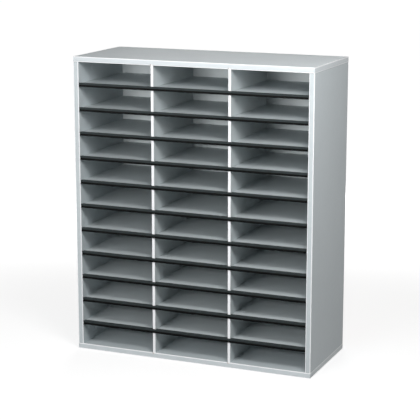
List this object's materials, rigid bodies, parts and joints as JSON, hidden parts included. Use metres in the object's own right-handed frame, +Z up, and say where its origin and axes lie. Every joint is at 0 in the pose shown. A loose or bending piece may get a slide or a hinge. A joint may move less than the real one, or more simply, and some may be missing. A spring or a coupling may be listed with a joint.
{
  "type": "pigeonhole mail sorter",
  "caption": "Open-fronted sorter for letter-size papers: a laminated casing crossed by upright dividers and thin shelves edged with black label-holder mouldings.",
  "frame": {"origin": "on the floor under the middle of the casing: the centre of the bounding box's bottom face", "axes": "+X to the right seen from the open front, +Y from the front to the back, +Z up"},
  "size_m": [0.7366, 0.3016, 0.8811],
  "materials": {
    "grey_laminate": "satin",
    "divider_laminate": "satin",
    "back_hardboard": "matte",
    "shelf_hardboard": "matte",
    "black_moulding": "satin",
    "cap_plastic": "satin",
    "zinc_alloy": "cast",
    "plated_steel": "zinc plated",
    "beech": "raw"
  },
  "bodies": {
    "root": {"top_panel": "grey_laminate", "bottom_panel": "grey_laminate", "left_side_panel": "grey_laminate", "right_side_panel": "grey_laminate", "back_panel": "back_hardboard", "left_divider": "divider_laminate", "right_divider": "divider_laminate", "cam_locks": "zinc_alloy", "cam_cover_caps": "cap_plastic", "cam_bolts": "plated_steel", "wood_dowels": "beech", "shelf_01": "shelf_hardboard", "shelf_moulding_01": "black_moulding", "shelf_02": "shelf_hardboard", "shelf_moulding_02": "black_moulding", "shelf_03": "shelf_hardboard", "shelf_moulding_03": "black_moulding", "shelf_04": "shelf_hardboard", "shelf_moulding_04": "black_moulding", "shelf_05": "shelf_hardboard", "shelf_moulding_05": "black_moulding", "shelf_06": "shelf_hardboard", "shelf_moulding_06": "black_moulding", "shelf_07": "shelf_hardboard", "shelf_moulding_07": "black_moulding", "shelf_08": "shelf_hardboard", "shelf_moulding_08": "black_moulding", "shelf_09": "shelf_hardboard", "shelf_moulding_09": "black_moulding", "shelf_10": "shelf_hardboard", "shelf_moulding_10": "black_moulding", "shelf_11": "shelf_hardboard", "shelf_moulding_11": "black_moulding"}
  },
  "joints": []
}
